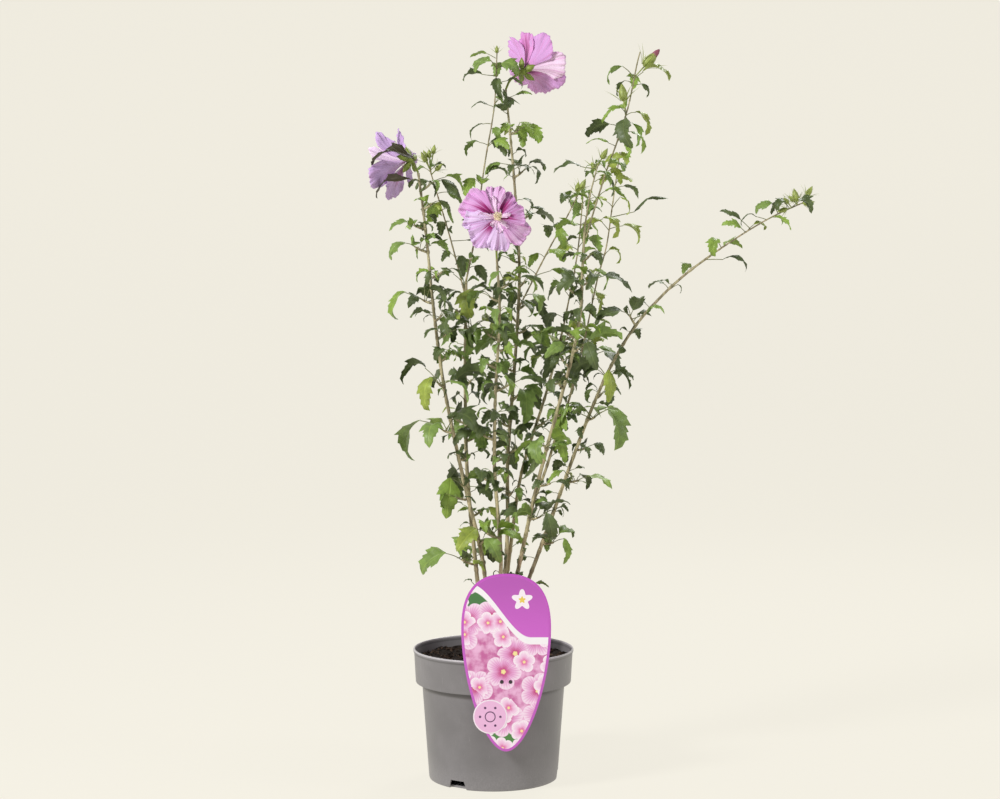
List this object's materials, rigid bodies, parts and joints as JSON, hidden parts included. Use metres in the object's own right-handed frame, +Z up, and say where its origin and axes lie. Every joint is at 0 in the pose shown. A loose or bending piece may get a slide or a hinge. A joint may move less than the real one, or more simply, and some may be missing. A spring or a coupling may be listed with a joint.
{
  "type": "potted rose of sharon",
  "caption": "Young flowering shrub in a round nursery pot: slender upright canes with small lobed leaves, buds and open lilac blooms, and an egg-shaped plant label in front.",
  "frame": {"origin": "centre of the pot's flat underside", "axes": "+Z up the plant, -Y towards the plant label, +X towards the long low cane"},
  "size_m": [0.6393, 0.2754, 1.0852],
  "materials": {
    "pot_plastic": "satin",
    "soil": "matte",
    "label_card": "gloss",
    "bark": "matte",
    "leaves": "satin",
    "young_leaves": "satin",
    "petals": "matte"
  },
  "bodies": {
    "root": {"bloom_left": "petals", "bloom_middle": "petals", "bloom_top": "petals", "bough_e2": "bark", "cane_a": "bark", "cane_b": "bark", "cane_c": "bark", "cane_d": "bark", "cane_e": "bark", "cane_f": "bark", "cane_h": "bark", "plant_label": "label_card", "pot": "pot_plastic", "potting_soil": "soil", "root_crown": "bark", "shoot_a_left": "young_leaves", "shoot_a_right": "young_leaves", "shoot_e_left": "young_leaves", "shoot_e_top": "young_leaves", "shoot_f": "young_leaves", "shoot_g": "young_leaves", "shoot_h": "young_leaves", "shoot_i": "young_leaves", "tuft_a_304": "leaves", "tuft_a_412": "leaves", "tuft_a_480": "leaves", "tuft_a_642": "leaves", "tuft_a_684": "leaves", "tuft_b_335": "leaves", "tuft_b_496": "leaves", "tuft_b_562": "leaves", "tuft_b_630": "leaves", "tuft_b_680": "leaves", "tuft_b_752": "leaves", "tuft_b_784": "leaves", "tuft_b_838": "leaves", "tuft_c_345": "leaves", "tuft_c_425": "leaves", "tuft_c_486": "leaves", "tuft_c_556": "leaves", "tuft_c_628": "leaves", "tuft_c_700": "leaves", "tuft_d_462": "leaves", "tuft_d_538": "leaves", "tuft_d_618": "leaves", "tuft_d_672": "leaves", "tuft_d_800": "leaves", "tuft_d_866": "leaves", "tuft_d_930": "leaves", "tuft_e2_596": "leaves", "tuft_e_372": "leaves", "tuft_e_472": "leaves", "tuft_e_612": "leaves", "tuft_e_706": "leaves", "tuft_f_335": "leaves", "tuft_f_424": "leaves", "tuft_f_514": "leaves", "tuft_f_572": "leaves", "tuft_f_648": "leaves", "tuft_h_600": "leaves"}
  },
  "joints": []
}
